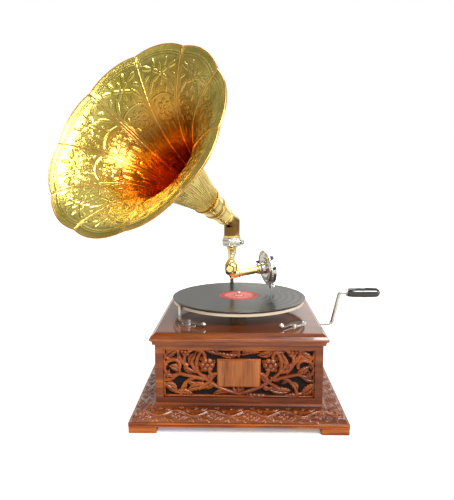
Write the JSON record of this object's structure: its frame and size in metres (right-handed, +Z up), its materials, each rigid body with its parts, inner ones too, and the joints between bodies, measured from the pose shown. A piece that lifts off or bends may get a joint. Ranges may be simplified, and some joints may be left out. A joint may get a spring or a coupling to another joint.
{
  "type": "wind-up horn gramophone",
  "caption": "Spring-wound table gramophone: a petalled brass horn on a swivel over a turntable, with tone arm, crank, brake and speed lever on a square carved wooden case.",
  "frame": {"origin": "on the floor, under the middle of the square plinth", "axes": "+Z up along the turntable spindle; +Y towards the back of the case, where the horn bracket is; +X to the crank side"},
  "size_m": [0.6101, 0.4089, 0.6284],
  "materials": {
    "carved_wood": "satin",
    "lid_wood": "gloss",
    "backing_cloth": "matte",
    "polished_brass": "polished",
    "nickel": "polished",
    "motor_steel": "brushed",
    "blued_spring_steel": "polished",
    "felt": "matte",
    "platter_rim": "satin",
    "shellac": "gloss",
    "label_paper": "matte",
    "handle_black": "gloss",
    "gasket_rubber": "matte",
    "mica": "gloss",
    "brake_leather": "matte",
    "bracket_iron": "painted"
  },
  "bodies": {
    "case": {"corner_feet": "carved_wood", "plinth_front": "carved_wood", "plinth_back": "carved_wood", "plinth_left": "carved_wood", "plinth_right": "carved_wood", "bottom_board": "carved_wood", "front_frame": "carved_wood", "left_frame": "carved_wood", "right_frame": "carved_wood", "front_fretwork": "carved_wood", "left_fretwork": "carved_wood", "right_fretwork": "carved_wood", "fret_backings": "backing_cloth", "name_plaque": "carved_wood", "back_panel": "carved_wood", "crank_escutcheon": "nickel", "cornice": "carved_wood", "top_board": "lid_wood", "motor_plate": "motor_steel", "motor_base_plate": "motor_steel", "motor_pillars": "motor_steel", "motor_screws": "nickel", "governor_brackets": "motor_steel", "brake_base": "nickel", "speed_dial": "nickel", "horn_bracket": "bracket_iron", "bracket_screws": "nickel", "horn_socket": "nickel"},
    "turntable": {"spindle": "nickel", "spindle_gears": "motor_steel", "platter": "platter_rim", "felt_mat": "felt", "record": "shellac", "record_label": "label_paper"},
    "barrel": {"spring_barrel": "motor_steel", "barrel_cover": "motor_steel", "mainspring": "blued_spring_steel"},
    "arbor": {"winding_arbor": "motor_steel"},
    "governor": {"governor_shaft": "motor_steel", "governor_weights": "motor_steel"},
    "crank": {"crank_rod": "nickel", "winding_pinion": "motor_steel"},
    "grip": {"crank_handle": "handle_black"},
    "brake": {"brake_lever": "nickel", "brake_pad": "brake_leather"},
    "speed": {"speed_lever": "nickel"},
    "horn": {"horn_elbow": "polished_brass", "horn_neck": "polished_brass", "horn_petals": "polished_brass"},
    "tonearm": {"tonearm_turret": "polished_brass", "tonearm_tube": "polished_brass"},
    "reproducer": {"gooseneck": "polished_brass", "gooseneck_screw": "nickel", "reproducer_tube": "polished_brass", "soundbox_housing": "nickel", "soundbox_gasket": "gasket_rubber", "diaphragm": "mica", "stylus_bar": "nickel", "needle": "nickel"},
    "needle_clamp": {"needle_screw": "nickel"}
  },
  "joints": [
    {"name": "turntable_spin", "type": "hinge", "parent": "case", "child": "turntable", "pos_m": [0, 0.006, 0.15], "axis": [0, 0, 1], "continuous": true},
    {"name": "barrel_turn", "type": "hinge", "parent": "case", "child": "barrel", "pos_m": [0.03515, 0.045, 0.09], "axis": [0, 0, 1], "continuous": true},
    {"name": "governor_spin", "type": "hinge", "parent": "case", "child": "governor", "pos_m": [0, -0.0103, 0.094], "axis": [1, 0, 0], "continuous": true},
    {"name": "crank_turn", "type": "hinge", "parent": "case", "child": "crank", "pos_m": [0.13, 0.045, 0.119], "axis": [1, 0, 0], "continuous": true},
    {"name": "arbor_turn", "type": "hinge", "parent": "case", "child": "arbor", "pos_m": [0.03515, 0.045, 0.1], "axis": [0, 0, 1], "continuous": true},
    {"name": "grip_spin", "type": "hinge", "parent": "crank", "child": "grip", "pos_m": [0.245, 0.045, 0.1816], "axis": [1, 0, 0], "continuous": true},
    {"name": "brake_swing", "type": "hinge", "parent": "case", "child": "brake", "pos_m": [-0.086, -0.092, 0.165], "axis": [0, 0, 1], "range_deg": [-2.5, 12]},
    {"name": "speed_turn", "type": "hinge", "parent": "case", "child": "speed", "pos_m": [0.092, -0.092, 0.157], "axis": [0, 0, 1], "range_deg": [-25, 25]},
    {"name": "horn_turn", "type": "hinge", "parent": "case", "child": "horn", "pos_m": [-0.015, 0.14, 0.27], "axis": [0, 0, 1], "continuous": true},
    {"name": "arm_swing", "type": "hinge", "parent": "case", "child": "tonearm", "pos_m": [-0.015, 0.14, 0.255], "axis": [0, 0, 1], "range_deg": [-6, 35]},
    {"name": "arm_lift", "type": "hinge", "parent": "tonearm", "child": "reproducer", "pos_m": [-0.015, 0.018, 0.246], "axis": [0, -0.9996, -0.0287], "range_deg": [0, 50]},
    {"name": "needle_clamp_turn", "type": "hinge", "parent": "reproducer", "child": "needle_clamp", "pos_m": [0.06666, 0.03617, 0.1961], "axis": [0.9374, 0.3228, 0.1305], "continuous": true}
  ],
  "couplings": [
    {"joint": "barrel_turn", "follows": "turntable_spin", "ratio": -0.25},
    {"joint": "governor_spin", "follows": "turntable_spin", "ratio": 12},
    {"joint": "arbor_turn", "follows": "crank_turn", "ratio": 0.36111}
  ]
}
